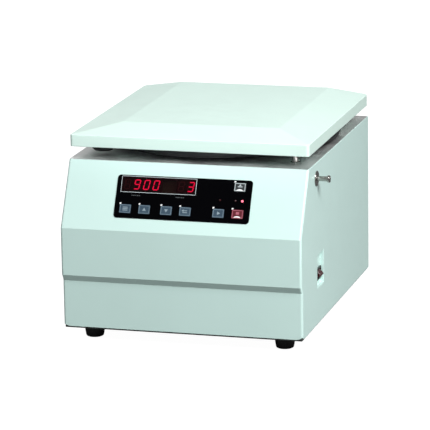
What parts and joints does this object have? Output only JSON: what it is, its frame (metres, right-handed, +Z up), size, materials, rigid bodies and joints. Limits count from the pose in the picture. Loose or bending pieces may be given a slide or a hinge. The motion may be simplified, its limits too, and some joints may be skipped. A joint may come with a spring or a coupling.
{
  "type": "laboratory centrifuge",
  "caption": "Bench-top laboratory centrifuge with a hinged lid, sloped keypad and display panel, pull-rod lid latch and a motor-driven angle rotor in a round chamber.",
  "frame": {"origin": "on the bench under the middle of the casing's footprint", "axes": "+X to the right of a person facing the panel, +Y to the back, +Z up"},
  "size_m": [0.3275, 0.3742, 0.2635],
  "materials": {
    "casing_paint": "satin powder coat, pale mint white",
    "lid_paint": "satin powder coat, pale mint white",
    "chassis_steel": "zinc-plated sheet",
    "base_grey": "dark grey paint",
    "deck_steel": "brushed sheet",
    "stainless": "spun stainless steel",
    "screw_steel": "zinc-plated",
    "black_rubber": "matte moulded rubber",
    "motor_casting": "die cast",
    "winding_copper": "lacquered winding",
    "core_steel": "laminated core",
    "turned_steel": "turned and plated",
    "spring_steel": "spring wire",
    "rotor_aluminium": "cast and turned",
    "liner_plastic": "textured black",
    "panel_black": "gloss black polyester",
    "window_smoke": "smoked red filter",
    "digit_block": "black with segments",
    "board_green": "solder mask",
    "key_blue": "satin",
    "key_red": "satin",
    "key_grey": "satin",
    "lamp_red": "tinted lens",
    "black_plastic": "moulded",
    "rocker_red": "moulded"
  },
  "bodies": {
    "housing": {"casing_shell": "casing_paint", "deck_plate": "deck_steel", "rear_panel": "casing_paint", "base_plate": "base_grey", "rubber_feet": "black_rubber", "foot_screws": "screw_steel", "casing_screws": "screw_steel", "chamber_bowl": "stainless", "chamber_gasket": "black_rubber", "spindle_boot": "black_rubber", "motor_plate": "chassis_steel", "motor_isolators": "black_rubber", "motor_pillars": "chassis_steel", "motor_housing": "motor_casting", "motor_end_cap": "motor_casting", "motor_stator": "winding_copper", "motor_bearings": "screw_steel", "latch_bush": "turned_steel", "latch_bracket": "chassis_steel", "latch_spring": "spring_steel", "rod_escutcheon": "turned_steel", "lid_switch": "black_plastic", "panel_overlay": "panel_black", "display_window": "window_smoke", "display_board": "board_green", "key_switches": "black_plastic", "indicator_lamps": "lamp_red", "control_board": "board_green", "transformer": "core_steel", "switch_pocket": "casing_paint", "switch_frame": "black_plastic", "mains_inlet": "black_plastic", "speed_digits": "digit_block", "time_digits": "digit_block", "hinge_base_left": "chassis_steel", "hinge_base_right": "chassis_steel"},
    "lid": {"lid_shell": "lid_paint", "lid_inner_plate": "lid_paint", "lid_liner": "liner_plastic", "lid_bumper": "black_rubber", "striker_pin": "turned_steel", "hinge_leaf_left": "chassis_steel", "hinge_leaf_right": "chassis_steel", "hinge_pins": "screw_steel"},
    "rotor": {"spindle": "turned_steel", "motor_armature": "core_steel", "rotor_plate": "rotor_aluminium", "tube_sleeves": "stainless", "rotor_nut": "rotor_aluminium"},
    "latch": {"pull_rod": "turned_steel", "latch_slide": "chassis_steel"},
    "power_rocker": {"rocker": "rocker_red"},
    "fuse_holder": {"fuse_drawer": "black_plastic"},
    "button_mode": {"key_mode": "key_blue"},
    "button_up": {"key_up": "key_blue"},
    "button_down": {"key_down": "key_blue"},
    "button_enter": {"key_enter": "key_blue"},
    "button_start": {"key_start": "key_blue"},
    "button_stop": {"key_stop": "key_red"},
    "button_lid": {"key_lid": "key_grey"}
  },
  "joints": [
    {"name": "lid_hinge", "type": "hinge", "parent": "housing", "child": "lid", "pos_m": [0, 0.178, 0.234], "axis": [-1, 0, 0], "range_deg": [0, 80]},
    {"name": "rotor_spin", "type": "hinge", "parent": "housing", "child": "rotor", "pos_m": [0, 0.025, 0.15], "axis": [0, 0, 1], "continuous": true},
    {"name": "rod_pull", "type": "slide", "parent": "housing", "child": "latch", "axis": [1, 0, 0], "range_m": [0, 0.006], "stiffness_N_per_m": 700, "springref_m": -0.003, "deforming": ["latch_spring"]},
    {"name": "rocker_tilt", "type": "hinge", "parent": "housing", "child": "power_rocker", "pos_m": [0.1482, -0.082, 0.0793], "axis": [0, 1, 0], "range_deg": [-24, 0]},
    {"name": "fuse_drawer_slide", "type": "slide", "parent": "housing", "child": "fuse_holder", "axis": [0, 1, 0], "range_m": [0, 0.016]},
    {"name": "key_mode_press", "type": "slide", "parent": "housing", "child": "button_mode", "axis": [0, 0.883, -0.4694], "range_m": [0, 0.0004], "stiffness_N_per_m": 800, "springref_m": -0.0003},
    {"name": "key_up_press", "type": "slide", "parent": "housing", "child": "button_up", "axis": [0, 0.883, -0.4694], "range_m": [0, 0.0004], "stiffness_N_per_m": 800, "springref_m": -0.0003},
    {"name": "key_down_press", "type": "slide", "parent": "housing", "child": "button_down", "axis": [0, 0.883, -0.4694], "range_m": [0, 0.0004], "stiffness_N_per_m": 800, "springref_m": -0.0003},
    {"name": "key_enter_press", "type": "slide", "parent": "housing", "child": "button_enter", "axis": [0, 0.883, -0.4694], "range_m": [0, 0.0004], "stiffness_N_per_m": 800, "springref_m": -0.0003},
    {"name": "key_start_press", "type": "slide", "parent": "housing", "child": "button_start", "axis": [0, 0.883, -0.4694], "range_m": [0, 0.0004], "stiffness_N_per_m": 800, "springref_m": -0.0003},
    {"name": "key_stop_press", "type": "slide", "parent": "housing", "child": "button_stop", "axis": [0, 0.883, -0.4694], "range_m": [0, 0.0004], "stiffness_N_per_m": 800, "springref_m": -0.0003},
    {"name": "key_lid_press", "type": "slide", "parent": "housing", "child": "button_lid", "axis": [0, 0.883, -0.4694], "range_m": [0, 0.0004], "stiffness_N_per_m": 800, "springref_m": -0.0003}
  ]
}
